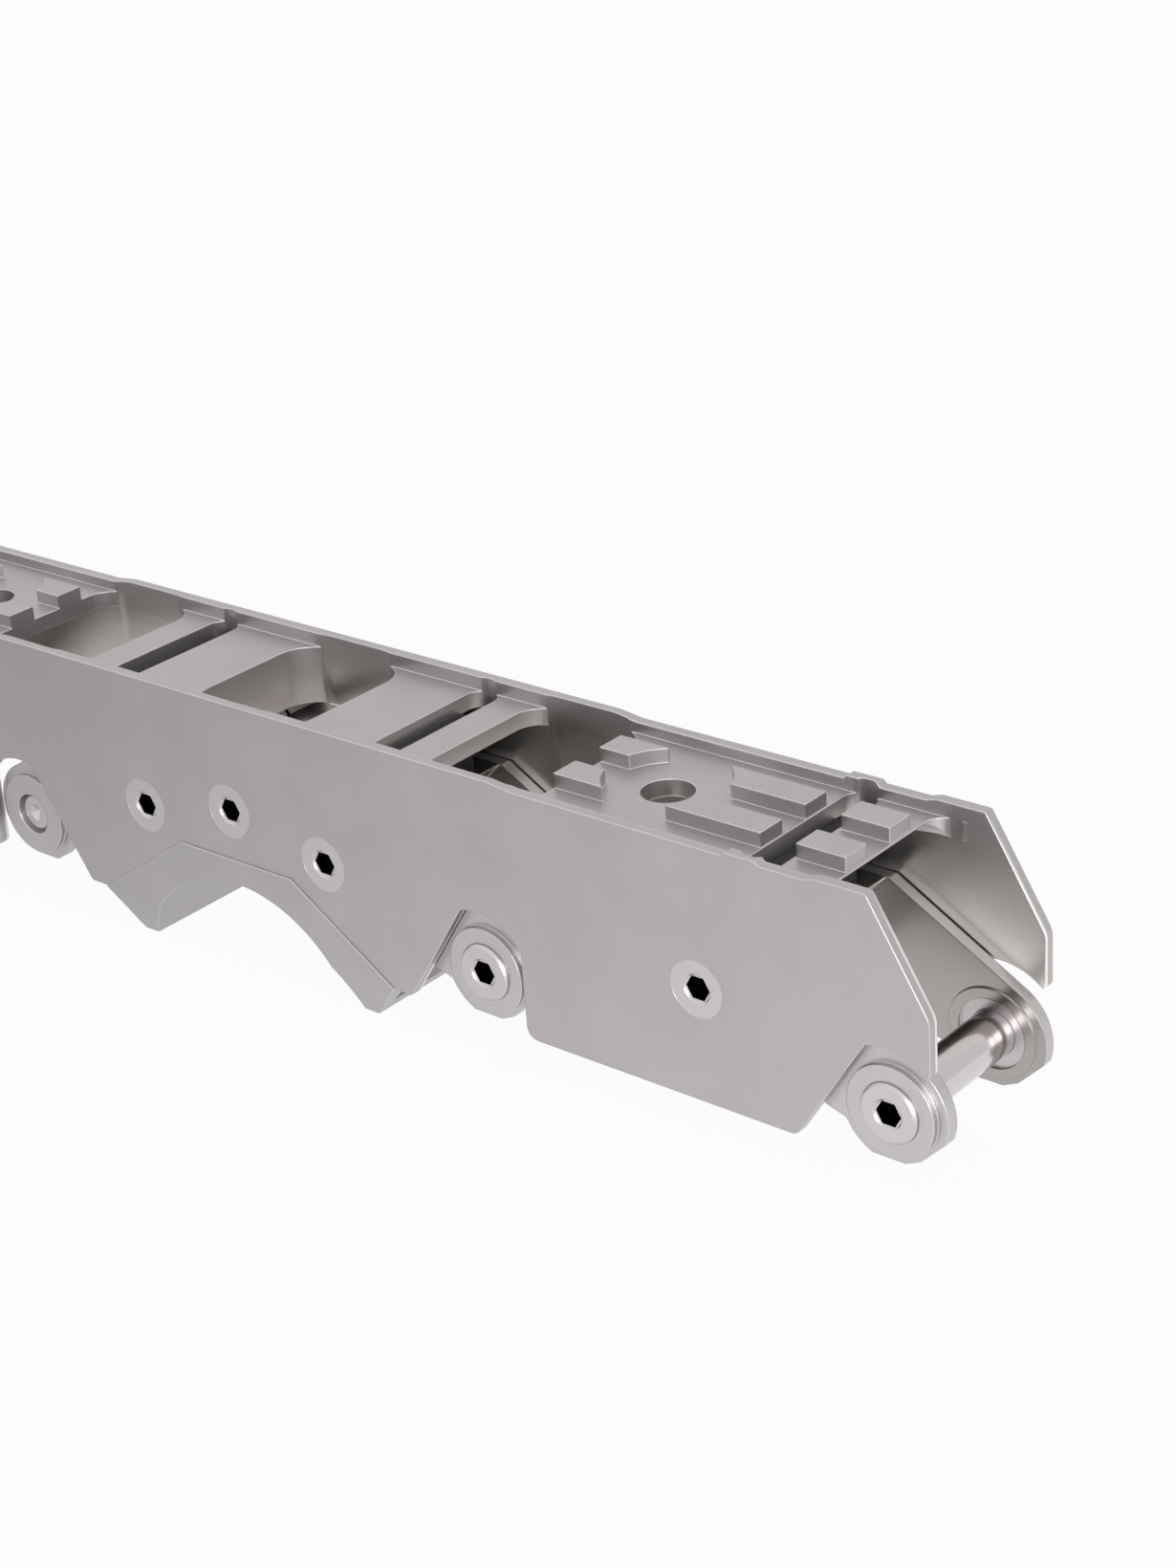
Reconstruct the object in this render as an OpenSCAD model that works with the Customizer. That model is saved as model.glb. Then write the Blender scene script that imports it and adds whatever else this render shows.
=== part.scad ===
// Four wheel inline skate frame with a sprung swing arm for each wheel.
// X runs along the frame towards its front, Y across it, Z up.
// The origin lies on the ground under the middle of the wheelbase, where the grind block's feet stand.

/* [Wheelbase] */
// Distance between the two axles at either end
axle_gap = 81; // [79:0.5:84]
// Distance between the two inner axles
middle_gap = 115; // [113:0.5:120]
// Height of the axles above the grind block's feet
axle_height = 17; // [16:0.5:20]
// Radius kept clear for a wheel about each axle
wheel_room_r = 29.5; // [28.5:0.25:29.5]

/* [Chassis walls] */
// Width over the two side walls
frame_w = 34.3; // [34:0.1:36]
// Thickness of a side wall
wall_t = 2; // [1.8:0.1:2.1]
// Height of the rims above the axles
rim_rise = 36.7; // [36:0.1:38]
// How far a wall runs on past the outer axle
nose_ahead = 8.2; // [7.5:0.1:9]
// How far the top corner lies behind the nose
nose_back = 10.8; // [9:0.1:13]
// Height above the axle where the nose starts to slope back
nose_bend = 18.6; // [17:0.1:21]
// Radius of the bend in the nose
nose_bend_r = 4; // [1:0.5:6]
// Depth of the walls' lobes below the axles
lobe_depth = 9; // [8:0.1:9.5]
// Radius of the lobes' corners
lobe_corner_r = 2.2; // [0.5:0.1:3]
// Slope of the lobe edge behind each axle, in degrees
lobe_angle = 57; // [54:0.5:60]
// Gap above an axle boss in its cut-out
arch_gap = 3.9; // [3.2:0.1:4.2]
// Gap between an axle boss and the upright edge beside it
upright_gap = 1.55; // [1.2:0.05:2]

/* [Deck] */
// Thickness of the deck plate
deck_t = 3.1; // [2.6:0.1:3.4]
// Height of the rims and the pads above the deck plate
pad_h = 2.6; // [2:0.1:3]
// How far the deck's pattern lies ahead of the middle of the wheelbase
deck_shift = 2.5; // [0:0.5:3]
// Length of the middle pocket
middle_pocket_l = 26; // [24:0.5:27]
// Width of a crossbar along the frame
crossbar_w = 29.3; // [28:0.1:31]
// Radius of the pockets' corners
pocket_r = 5.5; // [4:0.1:7]
// Distance from the middle pocket to the slot in a crossbar
bar_slot_at = 16.2; // [14:0.1:17]
// Width of the slot in a crossbar
bar_slot_w = 6; // [5:0.1:7]
// Bridge left between a crossbar's slot and the wall
bar_slot_bridge = 0.7; // [0.4:0.1:2]
// Gap left between the abutments under the deck and the arms
abutment_gap = 0.9; // [0.6:0.1:1.5]
// Length of the abutment behind each bumper
abutment_l = 8; // [6:0.5:8]

/* [Mounting platforms] */
// Distance between the two mounting holes
mount_gap = 167; // [165:0.5:168]
// Diameter of a mounting hole
mount_hole_d = 9; // [8.5:0.1:9.5]
// Length of a platform inboard of its hole
platform_in = 16.5; // [15:0.5:18]
// Length of a platform outboard of its hole
platform_out = 40.9; // [40.5:0.1:42]
// Radius of the fillets that carry the deck's ends into the walls
deck_end_r = 6; // [4:0.5:7]
// Radius of the washer seat cut into the inner pads
washer_r = 10.8; // [10:0.1:12]
// Gap between the left and the right row of pads
pad_split = 6.2; // [5:0.1:7]
// Width over both rows of pads
pad_row_w = 17.4; // [16:0.1:19]
// Distance from the hole to the start of the long pads
long_pad_at = 6.3; // [5:0.1:8]
// Distance from the hole to the cross slot
cross_slot_at = 25; // [24:0.1:26]
// Width of the cross slot
cross_slot_w = 5.9; // [5:0.1:6.2]
// How deep the cross slot's ends are milled into the rims
cross_slot_bite = 0.8; // [0.4:0.1:1]
// Land left between the long pads and the cross slot
long_pad_land = 0.2; // [0.1:0.1:0.5]
// Land left between the cross slot and the outer pads
outer_pad_land = 0.6; // [0.4:0.1:0.8]
// Length of the outer pads
outer_pad_l = 9; // [8:0.1:9.2]
// How far the rims are milled down beside the pads
rim_cut = 0.6; // [0.3:0.1:1]
// Length of the ramp down to the milled rim
rim_ramp = 5; // [4:0.5:6]
// How far the milled rim runs on inboard past the platform
rim_run_on = 2; // [1:0.5:3]
// Rim left at full height inboard of the cross slot
notch_in = 1.4; // [1:0.1:2]
// How far short of the cross slot's far side the full height ends
notch_out = 1; // [0.8:0.1:1.2]
// Length of the rims' ramp at the deck's end
end_ramp = 2; // [1:0.5:3]

/* [Arms] */
// Distance from an axle inboard to its arm's pivot
arm_reach = 35; // [34:0.25:36]
// Height of an arm's pivot above its axle
pivot_rise = 11.2; // [10.8:0.1:11.6]
// Upward swing of an arm, in degrees
arm_swing = 4; // [2:0.25:4.5]
// Gap between an arm and the wall beside it
arm_gap = 0.3; // [0.25:0.05:0.4]
// Gap between an arm's two bearing faces
bearing_gap = 24.6; // [24.2:0.1:24.8]
// Height of the bearing faces above the arm's plates
bearing_face_h = 0.3; // [0.2:0.1:0.5]
// Diameter of the bearing faces
bearing_face_d = 16; // [14:0.5:18]
// Radius of an arm's end about its axle
arm_end_r = 9.8; // [9.2:0.1:10.2]
// Radius of an arm's end about its pivot
pivot_end_r = 8.6; // [8.2:0.1:9]
// Height of an arm's flat top above its axle
arm_top = 22.2; // [21.8:0.1:22.6]
// Distance inboard from the axle to the fold in an arm's top
arm_fold = 18.9; // [18:0.1:20]
// How far the flat top runs on inboard past the pivot
arm_tail = 3; // [1:0.5:4]
// Distance from the line between pivot and axle to an arm's lower edge
arm_low = 6.8; // [6:0.1:7.4]
// Diameter of an axle boss
boss_d = 15.9; // [15:0.1:16.4]
// Height of an axle boss above the arm's plate
boss_h = 1.1; // [0.8:0.1:1.2]

/* [Axles] */
// Diameter of an axle
axle_d = 8; // [7.6:0.1:8]
// Diameter of an axle's head
axle_head_d = 10.3; // [10:0.1:11.5]
// Depth of the head's seat in the boss
head_seat = 1.6; // [1.2:0.1:2]
// How far the head stands out of its boss
head_proud = 0.7; // [0.3:0.1:0.8]
// Size across the flats of the hex socket in an axle's head
axle_hex = 4; // [3:0.5:5]
// Depth of that socket
axle_hex_depth = 3; // [2:0.1:4]
// How far the threaded end stays below its boss
axle_end_gap = 0.8; // [0.3:0.1:1.5]
// Diameter of the recess round the axle in each bearing face
axle_recess_d = 12.2; // [11:0.1:13]
// Depth of that recess
axle_recess = 0.5; // [0.3:0.1:0.6]

/* [Pivots] */
// Diameter of the tube that an arm swings on
pivot_tube_d = 9; // [8:0.1:9.4]
// Diameter over a bush
bush_d = 11; // [10.6:0.1:11.4]
// Length of a bush
bush_l = 8; // [5:0.5:11]
// Diameter of a bush's flange
bush_flange_d = 14; // [13:0.1:15]
// Thickness of a bush's flange
bush_flange_t = 1; // [0.8:0.1:1.2]
// Side play between a bush and its wall
side_play = 0.1; // [0.05:0.05:0.15]
// Diameter of a countersunk screw head
screw_head_d = 10; // [9:0.1:10.6]
// Height of the straight rim round a screw head
screw_rim = 0.3; // [0.2:0.1:0.4]
// Thread diameter of the screws
screw_d = 5; // [4.5:0.1:5.5]
// Length of a screw
screw_l = 12; // [9:0.5:14]
// Size across the flats of a screw's hex socket
screw_hex = 4; // [3:0.5:4]
// Depth of that socket
screw_hex_depth = 2.6; // [2:0.1:3.2]

/* [Bumpers] */
// Distance inboard from the axle to a bumper's near face
bumper_at = 23.2; // [22:0.1:24]
// Length of a bumper along the frame
bumper_l = 10.3; // [8:0.1:11]
// Width of a bumper across the frame
bumper_w = 22; // [18:0.5:26]
// Radius of a bumper's upright corners
bumper_r = 1.5; // [0.5:0.25:3]

/* [Grind block] */
// Slope of the block's shoulders, in degrees
block_angle = 33.3; // [32:0.1:34]
// Gap between the block and an arm's pivot end
block_gap = 0.45; // [0.35:0.05:0.6]
// Height of the block's flat top above the axles
block_top = 6.05; // [5:0.05:6.5]
// How far the block stands out of the walls on each side
block_proud = 0.25; // [0.1:0.05:0.5]
// Radius of the arch across the block
arch_r = 28.5; // [27:0.5:32]
// Thickness of the block over the arch
arch_roof = 4.75; // [4:0.25:6]
// How far in the feet's outer faces are drawn at the ground
foot_taper = 2.5; // [1:0.1:3]
// Width of a foot's flat sole along the frame
sole_l = 3.4; // [2.5:0.1:4.5]
// Distance inboard from a shoulder's lower end to the foot's heel
heel_in = 5.8; // [5.6:0.1:6]
// Height of the heel above the ground
heel_rise = 0.9; // [0.7:0.1:1.1]
// Distance inboard from a shoulder's lower end to the bend over the heel
shin_in = 3.7; // [3.5:0.1:3.9]
// Height of that bend above the ground
shin_rise = 3.6; // [3.4:0.1:3.8]
// Height of the block's neck above the axles
neck_top = 21; // [20.8:0.1:21.4]
// Gap between the neck and the pivot ends beside it
neck_gap = 1.9; // [1:0.1:3]
// Height of the block's screws above the axles
block_screw_rise = 15.7; // [14:0.1:15.8]
// Width of the slots in the block for the tyres
tyre_slot_w = 26; // [25:0.5:27]

/* [Fits] */
// Running clearance round a pivot tube
run_fit = 0.05; // [0.02:0.01:0.09]
// Clearance round pieces that are screwed or pressed together
seat_fit = 0.02; // [0.01:0.01:0.05]

/* [Hidden] */
$fn = 96;

// Reach of a cut past the faces it opens
cut = 1;
// Depth that joined shapes share
bond = 0.4;

// The stations run from the front, 1, to the rear, 4
inner_x = middle_gap / 2;
outer_x = inner_x + axle_gap;
axle_xs = [outer_x, inner_x, -inner_x, -outer_x];
rim_z = axle_height + rim_rise;
deck_z = rim_z - pad_h;
deck_low = deck_z - deck_t;
arm_top_z = axle_height + arm_top;
wall_y = frame_w / 2;
inside_y = wall_y - wall_t;
arm_y = inside_y - arm_gap;
flange_y = inside_y - side_play;
bearing_y = bearing_gap / 2;
plate_y = bearing_y + bearing_face_h;
boss_y = arm_y + boss_h;

// Pivot of an arm from its axle, inboard being -x
pivot = [-arm_reach, pivot_rise];
pivot_z = axle_height + pivot_rise;
pivot_xs = [outer_x - arm_reach, inner_x - arm_reach, arm_reach - inner_x, arm_reach - outer_x];

// The lobe edge behind a boss clears it by the arm's swing
boss_r = boss_d / 2;
swing_gap = 0.3;
slant_normal = [-sin(lobe_angle), cos(lobe_angle)];
slant_gap = turned(-pivot, arm_swing) * slant_normal + pivot * slant_normal + swing_gap;
slant_off = boss_r + slant_gap;
arch_cut_r = boss_r + arch_gap;
upright_off = boss_r + upright_gap;
slant_meet_angle = 90 + lobe_angle - acos(slant_off / arch_cut_r);
slant_meet = arch_cut_r * [cos(slant_meet_angle), sin(slant_meet_angle)];

// The block's shoulders clear the pivot ends of the inner arms
shoulder_off = pivot_end_r + block_gap;
shoulder_top_x = shoulder_x(block_top);
shoulder_low_x = shoulder_x(-lobe_depth);
neck_x = inner_x - arm_reach - pivot_end_r - neck_gap;
block_y = wall_y + block_proud;
arch_z = axle_height + block_top - arch_roof - arch_r;
sole_x = sqrt(arch_r * arch_r - arch_z * arch_z);

hole_x = mount_gap / 2;
deck_half = hole_x + platform_out;
side_pocket_x = middle_pocket_l / 2 + crossbar_w;
cross_slot_x = hole_x + cross_slot_at;
cross_slot_end = cross_slot_x + cross_slot_w;
// How far the ends of the cross slot run on down the walls below the deck
cross_slot_drop = 0.5;

function turned(p, angle) = [
    p[0] * cos(angle) - p[1] * sin(angle),
    p[0] * sin(angle) + p[1] * cos(angle)
];

// X of the lobe edge at a height z, both from the axle
function slant_x(z) = (z * cos(lobe_angle) - slant_off) / sin(lobe_angle);

// X of the block's shoulder at a height z above the axles
function shoulder_x(z) = inner_x - arm_reach
    + ((pivot_rise - z) * cos(block_angle) - shoulder_off) / sin(block_angle);

function unit(v) = v / norm(v);

// The short way round from one angle to another
function short_turn(a) = a > 180 ? a - 360 : a < -180 ? a + 360 : a;

// Points that round the corner b between its neighbours a and c
function corner(a, b, c, r, steps = 6) =
    let (
        u = unit(a - b),
        v = unit(c - b),
        half = acos(u * v) / 2,
        centre = b + unit(u + v) * r / sin(half),
        from = b + u * r / tan(half) - centre,
        to = b + v * r / tan(half) - centre,
        start = atan2(from[1], from[0]),
        sweep = short_turn(atan2(to[1], to[0]) - start)
    )
    [for (i = [0 : steps]) centre + r * [cos(start + sweep * i / steps), sin(start + sweep * i / steps)]];

// An outline of [x, y, radius] corners, each rounded to its radius
function rounded(points) =
    let (count = len(points), at = function(i) [points[i % count][0], points[i % count][1]])
    [
        for (i = [0 : count - 1])
        each points[i][2] > 0
            ? corner(at(i + count - 1), at(i), at(i + 1), points[i][2])
            : [at(i)]
    ];

// The same outline on the other side of x = 0, in reverse order
function flipped(points) = [for (i = [len(points) - 1 : -1 : 0]) [-points[i][0], points[i][1], points[i][2]]];

// Touching point of a line from p on a circle, side 1 to the left of the way there and -1 to its right
// It lies a hair under the arc, so that the edge and the arc cross cleanly
function tangent(p, centre, r, side) =
    let (
        away = p - centre,
        under = r - 0.01,
        angle = atan2(away[1], away[0]) + side * acos(under / norm(away))
    )
    centre + under * [cos(angle), sin(angle)];

// Stands a drawing up in the XZ plane and gives it the depth from y0 to y1
module slab(y0, y1) {
    translate([0, y1, 0])
    rotate([90, 0, 0])
    linear_extrude(y1 - y0)
    children();
}

// A round bar along Y from y0 to y1
module bar(r, y0, y1) {
    translate([0, y0, 0])
    rotate([-90, 0, 0])
    cylinder(r = r, h = y1 - y0);
}

// Puts a piece at its station: the rear ones are the front ones turned round
module at_station(i) {
    translate([axle_xs[i - 1], 0, axle_height])
    rotate([0, 0, i > 2 ? 180 : 0])
    children();
}

// Repeats what is drawn about the deck's middle for its front and its rear half
module both_halves() {
    translate([deck_shift, 0, 0]) {
        children();
        mirror([1, 0, 0]) children();
    }
}

module both_halves_2d() {
    translate([deck_shift, 0]) {
        children();
        mirror([1, 0]) children();
    }
}

module both_sides() {
    children();
    mirror([0, 1, 0]) children();
}

// Sets screws with their heads flush in the two walls
module in_walls(x, z) {
    for (side = [-1, 1])
        translate([x, side * wall_y, z])
        rotate([-90 * side, 0, 0])
        children();
}

// A countersunk screw's body, its head's face at z = 0
module screw_body(gap, head_up) {
    head_r = screw_head_d / 2 + gap;
    thread_r = screw_d / 2 + gap;
    cone_h = (screw_head_d - screw_d) / 2;
    rotate_extrude()
    polygon([
        [0, head_up],
        [head_r, head_up],
        [head_r, -screw_rim],
        [thread_r, -screw_rim - cone_h],
        [thread_r, -screw_l - gap],
        [0, -screw_l - gap]
    ]);
}

module hex_socket(flats, depth) {
    lead = 0.35;
    point_r = flats / 2 / cos(30);
    translate([0, 0, -depth])
        cylinder(r = point_r, h = depth + cut, $fn = 6);
    translate([0, 0, -lead])
        cylinder(r1 = point_r, r2 = point_r + lead + cut, h = lead + cut);
}

module screw() {
    difference() {
        screw_body(0, 0);
        hex_socket(screw_hex, screw_hex_depth);
    }
}

// The way a boss takes through the wall, about its axle
module boss_way(right) {
    intersection() {
        circle(arch_cut_r);
        polygon([
            [slant_x(-arch_cut_r), -arch_cut_r],
            [right, -arch_cut_r],
            [right, arch_cut_r + cut],
            [slant_x(arch_cut_r + cut), arch_cut_r + cut]
        ]);
    }
}

// One side wall, drawn from the axles' height
module wall_drawing() {
    upright_top = sqrt(arch_cut_r * arch_cut_r - upright_off * upright_off);
    tip = sqrt(arch_cut_r * arch_cut_r - nose_ahead * nose_ahead);
    nose_x = outer_x + nose_ahead;
    front_half = [
        [nose_x - nose_back, rim_rise, 0.8],
        [nose_x, nose_bend, nose_bend_r],
        [nose_x, tip, 1],
        [outer_x + slant_meet[0], slant_meet[1], 0],
        [outer_x + slant_x(-lobe_depth), -lobe_depth, lobe_corner_r],
        [inner_x + upright_off, -lobe_depth, lobe_corner_r],
        [inner_x + upright_off, upright_top, 0],
        [inner_x + slant_meet[0], slant_meet[1], 0],
        [inner_x + slant_x(-lobe_depth), -lobe_depth, 1],
        [shoulder_low_x, -lobe_depth, 0],
        [shoulder_top_x, block_top, 0]
    ];
    difference() {
        polygon(rounded(concat(front_half, flipped(front_half))));
        for (side = [0, 1])
            mirror([side, 0]) {
                translate([outer_x, 0]) boss_way(2 * arch_cut_r);
                translate([inner_x, 0]) boss_way(upright_off);
            }
    }
}

// A pocket's plan: a rectangle with round corners
module pocket_plan(length, width, r) {
    square([length - 2 * r, width], center = true);
    square([length, width - 2 * r], center = true);
    for (x = [-1, 1], y = [-1, 1])
        translate([x * (length / 2 - r), y * (width / 2 - r)])
        circle(r);
}

// A slot's plan across the frame, with round ends
module slot_plan(width, reach) {
    square([width, 2 * reach - width], center = true);
    for (y = [-1, 1])
        translate([0, y * (reach - width / 2)])
        circle(width / 2);
}

// A web in the corner between the deck's end and a wall
module corner_web(r) {
    difference() {
        translate([-bond, -bond]) square(r + bond);
        translate([r, r]) circle(r);
    }
}

module deck_body() {
    translate([0, 0, deck_low])
    linear_extrude(deck_t)
    both_halves_2d() {
        translate([-bond, -inside_y - bond])
            square([deck_half + bond, 2 * (inside_y + bond)]);
        for (side = [-1, 1])
            translate([deck_half, -side * inside_y])
            mirror([0, side < 0 ? 1 : 0])
            corner_web(deck_end_r);
    }
}

// The pads that the boot's sole stands on, one platform's worth
module pads() {
    row_w = (pad_row_w - pad_split) / 2;
    translate([0, 0, deck_z - bond])
    linear_extrude(pad_h + bond)
    for (side = [0, 1])
        mirror([0, side])
        translate([0, pad_split / 2]) {
            difference() {
                translate([hole_x - platform_in, 0])
                    square([platform_in, row_w]);
                translate([hole_x, -pad_split / 2]) circle(washer_r);
            }
            translate([hole_x + long_pad_at, 0])
                square([cross_slot_at - long_pad_at - long_pad_land, row_w]);
            translate([cross_slot_end + outer_pad_land, 0])
                square([outer_pad_l, row_w]);
        }
}

// The stretches of rim that are milled down beside the pads, which keep their height
module rim_cuts() {
    low = rim_z - rim_cut;
    start = hole_x - platform_in - rim_run_on;
    notch_start = cross_slot_x - notch_in;
    notch_end = cross_slot_end - notch_out;
    both_sides() slab(inside_y - cut, wall_y + cut) {
        polygon([
            [start - rim_ramp, rim_z], [start, low],
            [notch_start, low], [notch_start + rim_cut, rim_z],
            [notch_start, rim_z + cut], [start - rim_ramp, rim_z + cut]
        ]);
        polygon([
            [notch_end, rim_z], [notch_end + rim_cut, low],
            [deck_half - end_ramp, low], [deck_half, rim_z],
            [deck_half, rim_z + cut], [notch_end, rim_z + cut]
        ]);
    }
}

// Walls under the deck that the bumpers lean on, from the arms' top up
module abutments() {
    low = arm_top_z + abutment_gap;
    for (x = axle_xs) {
        dir = sign(x);
        start = abs(x) - bumper_at - bumper_l - seat_fit;
        // The inner ones reach to the middle pocket
        length = abs(x) < outer_x ? start - middle_pocket_l / 2 - dir * deck_shift : abutment_l;
        mirror([dir < 0 ? 1 : 0, 0, 0])
            translate([start - length, -inside_y - bond, low])
            cube([length, 2 * (inside_y + bond), deck_low - low + bond]);
    }
}

module chassis() {
    color("silver")
    difference() {
        union() {
            for (side = [-1, 1])
                translate([0, 0, axle_height])
                slab(side * (wall_y - wall_t / 2) - wall_t / 2, side * (wall_y - wall_t / 2) + wall_t / 2)
                wall_drawing();
            deck_body();
            both_halves() pads();
            abutments();
        }
        both_halves() {
            rim_cuts();
            // Pocket over the inner wheel
            translate([(side_pocket_x + hole_x - platform_in) / 2, 0, deck_low - cut])
                linear_extrude(deck_t + 2 * cut)
                pocket_plan(hole_x - platform_in - side_pocket_x, 2 * inside_y, pocket_r);
            // Slot in the crossbar
            translate([middle_pocket_l / 2 + bar_slot_at + bar_slot_w / 2, 0, deck_low - cut])
                linear_extrude(deck_t + 2 * cut)
                slot_plan(bar_slot_w, inside_y - bar_slot_bridge);
            // Slot across the platform, its ends milled into the rims
            translate([cross_slot_x + cross_slot_w / 2, 0, deck_low - cross_slot_drop])
                linear_extrude(rim_z - deck_low + cut)
                slot_plan(cross_slot_w, inside_y + cross_slot_bite);
            translate([hole_x, 0, deck_low - cut])
                cylinder(d = mount_hole_d, h = deck_t + 2 * cut);
        }
        // Middle pocket, down between the abutments
        translate([deck_shift, 0, arm_top_z - cut])
            linear_extrude(rim_z - arm_top_z)
            pocket_plan(middle_pocket_l, 2 * inside_y, pocket_r);
        for (x = pivot_xs)
            in_walls(x, pivot_z) screw_body(seat_fit, cut);
        in_walls(0, axle_height + block_screw_rise) screw_body(seat_fit, cut);
    }
}

module grind_block() {
    floor_x = sole_x + sole_l;
    side_drawing = [
        [shoulder_top_x - seat_fit, block_top],
        [shoulder_low_x - seat_fit, -lobe_depth],
        [shoulder_low_x - shin_in, -axle_height + shin_rise],
        [shoulder_low_x - heel_in, -axle_height + heel_rise],
        [floor_x, -axle_height],
        [0, -axle_height]
    ];
    color("gainsboro")
    difference() {
        union() {
            translate([0, 0, axle_height])
            for (side = [0, 1])
                mirror([side, 0, 0])
                slab(-block_y, block_y)
                polygon(concat([[-bond, block_top], [-bond, -axle_height]], [
                    for (i = [len(side_drawing) - 1 : -1 : 0]) side_drawing[i]
                ]));
            translate([-neck_x, -inside_y + seat_fit, axle_height + block_top - bond])
                cube([2 * neck_x, 2 * (inside_y - seat_fit), neck_top - block_top + bond]);
        }
        // The arch
        translate([0, 0, arch_z]) bar(arch_r, -block_y - cut, block_y + cut);
        // Room for the inner tyres
        for (side = [-1, 1])
            translate([side * inner_x, 0, axle_height])
            bar(wheel_room_r, -tyre_slot_w / 2, tyre_slot_w / 2);
        // The feet's outer faces are drawn in below the walls' lobes
        both_sides()
            translate([-2 * floor_x, 0, 0])
            rotate([90, 0, 90])
            linear_extrude(4 * floor_x)
            polygon([
                [block_y, axle_height - lobe_depth],
                [block_y - foot_taper * (1 + cut / (axle_height - lobe_depth)), -cut],
                [block_y + cut, -cut],
                [block_y + cut, axle_height - lobe_depth]
            ]);
        in_walls(0, axle_height + block_screw_rise) screw_body(seat_fit, cut);
    }
}

module block_screws() {
    color("lightgray") in_walls(0, axle_height + block_screw_rise) screw();
}

// An arm's side view about its axle, with the pivot inboard
module arm_drawing() {
    fold = [-arm_fold, arm_top];
    tail = [pivot[0] - arm_tail, arm_top];
    down = arm_low * unit([pivot[1], -pivot[0]]) * -1;
    translate(pivot) circle(pivot_end_r);
    circle(arm_end_r);
    polygon([
        tail, fold,
        tangent(fold, [0, 0], arm_end_r, -1),
        [0, 0],
        down,
        pivot + down,
        pivot,
        tangent(tail, pivot, pivot_end_r, 1)
    ]);
}

module arm() {
    difference() {
        union() {
            difference() {
                slab(-arm_y, arm_y) arm_drawing();
                bar(wheel_room_r, -plate_y, plate_y);
            }
            both_sides() {
                bar(boss_r, arm_y - bond, boss_y);
                bar(bearing_face_d / 2, bearing_y, plate_y + bond);
            }
        }
        bar(axle_d / 2 + seat_fit, -boss_y - cut, boss_y + cut);
        bar(axle_head_d / 2 + seat_fit, -boss_y - cut, -boss_y + head_seat);
        both_sides() bar(axle_recess_d / 2, 0, bearing_y + axle_recess);
        translate([pivot[0], 0, pivot[1]]) {
            bar(bush_d / 2 + seat_fit, -arm_y - cut, arm_y + cut);
            both_sides()
                bar(bush_flange_d / 2 + seat_fit, flange_y - bush_flange_t - seat_fit, arm_y + cut);
        }
    }
}

module axle() {
    chamfer = 0.4;
    head_r = axle_head_d / 2;
    shaft_r = axle_d / 2;
    face_y = boss_y + head_proud;
    seat_y = boss_y - head_seat;
    end_y = boss_y - axle_end_gap;
    color("lightgray")
    difference() {
        rotate([90, 0, 0])
        rotate_extrude()
        polygon([
            [0, face_y],
            [head_r - chamfer, face_y],
            [head_r, face_y - chamfer],
            [head_r, seat_y],
            [shaft_r, seat_y],
            [shaft_r, -end_y + 2 * chamfer],
            [shaft_r - 2 * chamfer, -end_y],
            [0, -end_y]
        ]);
        translate([0, -face_y, 0])
            rotate([90, 0, 0])
            hex_socket(axle_hex, axle_hex_depth);
        // Centre mark in the threaded end
        translate([0, end_y, 0])
            rotate([90, 0, 0])
            cylinder(r1 = 1.6, r2 = 0, h = 1.2);
    }
}

module pivot_tube(i) {
    color("darkgray")
    difference() {
        translate([pivot_xs[i - 1], 0, pivot_z])
            bar(pivot_tube_d / 2, -inside_y, inside_y);
        in_walls(pivot_xs[i - 1], pivot_z) screw_body(seat_fit, cut);
    }
}

module bushes() {
    translate([pivot[0], 0, pivot[1]])
    both_sides()
    difference() {
        union() {
            bar(bush_d / 2, flange_y - bush_l, flange_y);
            bar(bush_flange_d / 2, flange_y - bush_flange_t, flange_y);
        }
        bar(pivot_tube_d / 2 + run_fit, flange_y - bush_l - cut, flange_y + cut);
    }
}

module bumper() {
    translate([-bumper_at - bumper_l / 2, 0, arm_top])
    linear_extrude(deck_low - arm_top_z)
    pocket_plan(bumper_l, bumper_w, bumper_r);
}

chassis();
grind_block();
block_screws();
for (i = [1 : 4]) {
    color("silver") at_station(i) arm();
    at_station(i) axle();
    pivot_tube(i);
    color("lightgray") in_walls(pivot_xs[i - 1], pivot_z) screw();
    color("goldenrod") at_station(i) bushes();
    color("dimgray") at_station(i) bumper();
}
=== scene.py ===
# %% [markdown]
# # An inline skate frame
# The part is a four wheel skate frame: a machined aluminium channel, a grind block in its middle
# and a sprung swing arm for every axle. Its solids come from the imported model. This script mills
# the channel and the arms' ends a little further, gives every piece the finish of the real one,
# rounds the light along its edges, and sets up a small product studio.

import math

import bpy
from mathutils import Matrix, Vector


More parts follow.
